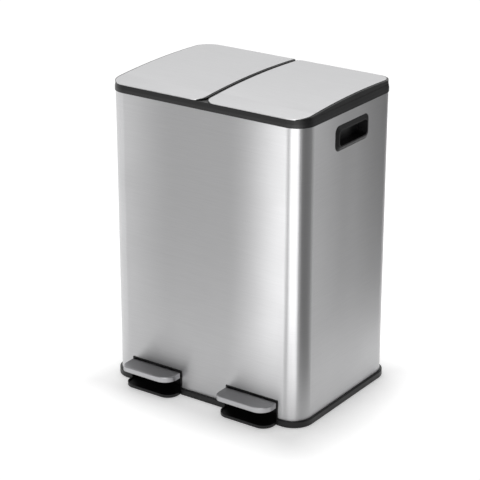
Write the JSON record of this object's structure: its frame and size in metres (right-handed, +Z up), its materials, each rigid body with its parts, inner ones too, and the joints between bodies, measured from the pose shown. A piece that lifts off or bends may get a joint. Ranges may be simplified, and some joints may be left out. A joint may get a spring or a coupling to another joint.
{
  "type": "twin pedal bin",
  "caption": "Tall steel-clad bin with two lift-out buckets side by side, each under an arched hinged lid that its own front pedal opens through a lever and push rod.",
  "frame": {"origin": "on the floor, under the middle of the whole footprint, pedals included", "axes": "+Z up; -Y is the front, where the pedals are; +X to the right as seen from the front"},
  "size_m": [0.46, 0.375, 0.63],
  "materials": {
    "brushed_steel_sheet": "satin, brushed and clear-coated against finger marks",
    "black_plastic": "black moulded plastic with a low satin sheen",
    "bucket_plastic": "dark grey moulded polypropylene, fine matt",
    "zinc_steel": "zinc-plated steel, dull",
    "soft_rubber": "matt black rubber"
  },
  "bodies": {
    "frame": {"axle_brackets": "zinc_steel", "back_screws": "zinc_steel", "base_tray": "black_plastic", "bracket_screws": "zinc_steel", "bucket_bail_left": "zinc_steel", "bucket_bail_right": "zinc_steel", "bucket_deck": "black_plastic", "bucket_left": "bucket_plastic", "bucket_right": "bucket_plastic", "deck_screws": "zinc_steel", "guard_screws": "zinc_steel", "hinge_pins": "zinc_steel", "lid_bumpers": "soft_rubber", "outer_shell": "brushed_steel_sheet", "pedal_axle": "zinc_steel", "pedal_guard_left": "black_plastic", "pedal_guard_right": "black_plastic", "rod_guides": "black_plastic", "rubber_feet": "soft_rubber", "side_grip_left": "black_plastic", "side_grip_right": "black_plastic", "top_collar": "black_plastic"},
    "lid_left": {"lid_skin_left": "brushed_steel_sheet", "lid_frame_left": "black_plastic", "lid_crank_left": "zinc_steel", "lid_screws_left": "zinc_steel"},
    "rod_left": {"push_rod_left": "zinc_steel"},
    "pedal_left": {"pedal_cap_left": "brushed_steel_sheet", "pedal_core_left": "black_plastic", "pedal_lever_left": "zinc_steel", "pedal_screws_left": "zinc_steel"},
    "lid_right": {"lid_skin_right": "brushed_steel_sheet", "lid_frame_right": "black_plastic", "lid_crank_right": "zinc_steel", "lid_screws_right": "zinc_steel"},
    "rod_right": {"push_rod_right": "zinc_steel"},
    "pedal_right": {"pedal_cap_right": "brushed_steel_sheet", "pedal_core_right": "black_plastic", "pedal_lever_right": "zinc_steel", "pedal_screws_right": "zinc_steel"}
  },
  "joints": [
    {"name": "lid_hinge_left", "type": "hinge", "parent": "frame", "child": "lid_left", "pos_m": [-0.1134, 0.178, 0.6218], "axis": [-1, 0, 0], "range_deg": [0, 75]},
    {"name": "rod_slide_left", "type": "slide", "parent": "frame", "child": "rod_left", "axis": [0, 0, 1], "range_m": [0, 0.0366]},
    {"name": "pedal_pivot_left", "type": "hinge", "parent": "frame", "child": "pedal_left", "pos_m": [-0.115, -0.0405, 0.018], "axis": [1, 0, 0], "range_deg": [0, 10.9]},
    {"name": "lid_hinge_right", "type": "hinge", "parent": "frame", "child": "lid_right", "pos_m": [0.1134, 0.178, 0.6218], "axis": [-1, 0, 0], "range_deg": [0, 75]},
    {"name": "rod_slide_right", "type": "slide", "parent": "frame", "child": "rod_right", "axis": [0, 0, 1], "range_m": [0, 0.0366]},
    {"name": "pedal_pivot_right", "type": "hinge", "parent": "frame", "child": "pedal_right", "pos_m": [0.115, -0.0405, 0.018], "axis": [1, 0, 0], "range_deg": [0, 10.9]}
  ],
  "couplings": [
    {"joint": "rod_slide_left", "follows": "lid_hinge_left", "m_per_rad": 0.0279},
    {"joint": "pedal_pivot_left", "follows": "lid_hinge_left", "ratio": 0.1453},
    {"joint": "rod_slide_right", "follows": "lid_hinge_right", "m_per_rad": 0.0279},
    {"joint": "pedal_pivot_right", "follows": "lid_hinge_right", "ratio": 0.1453}
  ]
}
